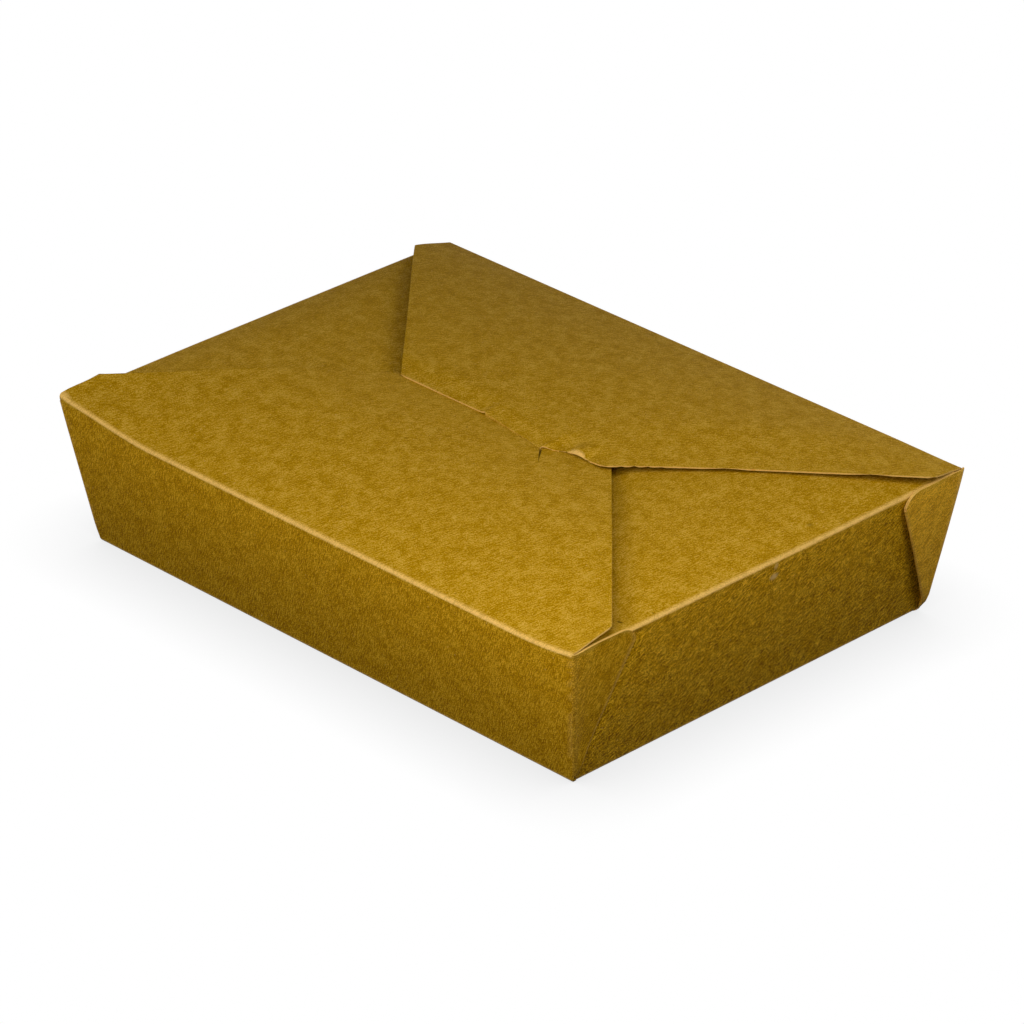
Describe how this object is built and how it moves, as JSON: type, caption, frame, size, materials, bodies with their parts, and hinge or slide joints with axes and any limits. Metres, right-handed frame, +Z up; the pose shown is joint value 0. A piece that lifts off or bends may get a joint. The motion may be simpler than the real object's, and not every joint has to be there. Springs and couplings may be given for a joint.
{
  "type": "takeaway box",
  "caption": "Folded kraft board takeaway box with flared walls, folded corner webs and a bowed, tongue-locked lid flap that hinges open on the far rim.",
  "frame": {"origin": "middle of the underside, on the table", "axes": "+X along the long side, +Y across the box towards the rim that the lid flap hinges on, +Z up"},
  "size_m": [0.2146, 0.1612, 0.0536],
  "materials": {
    "kraft_board": "matt, unbleached"
  },
  "bodies": {
    "box": {"box": "kraft_board"},
    "lid": {"lid_flap": "kraft_board"}
  },
  "joints": [
    {"name": "lid_hinge", "type": "hinge", "parent": "box", "child": "lid", "pos_m": [0, 0.08075, 0.0465], "axis": [-1, 0, 0], "range_deg": [0, 180]}
  ]
}
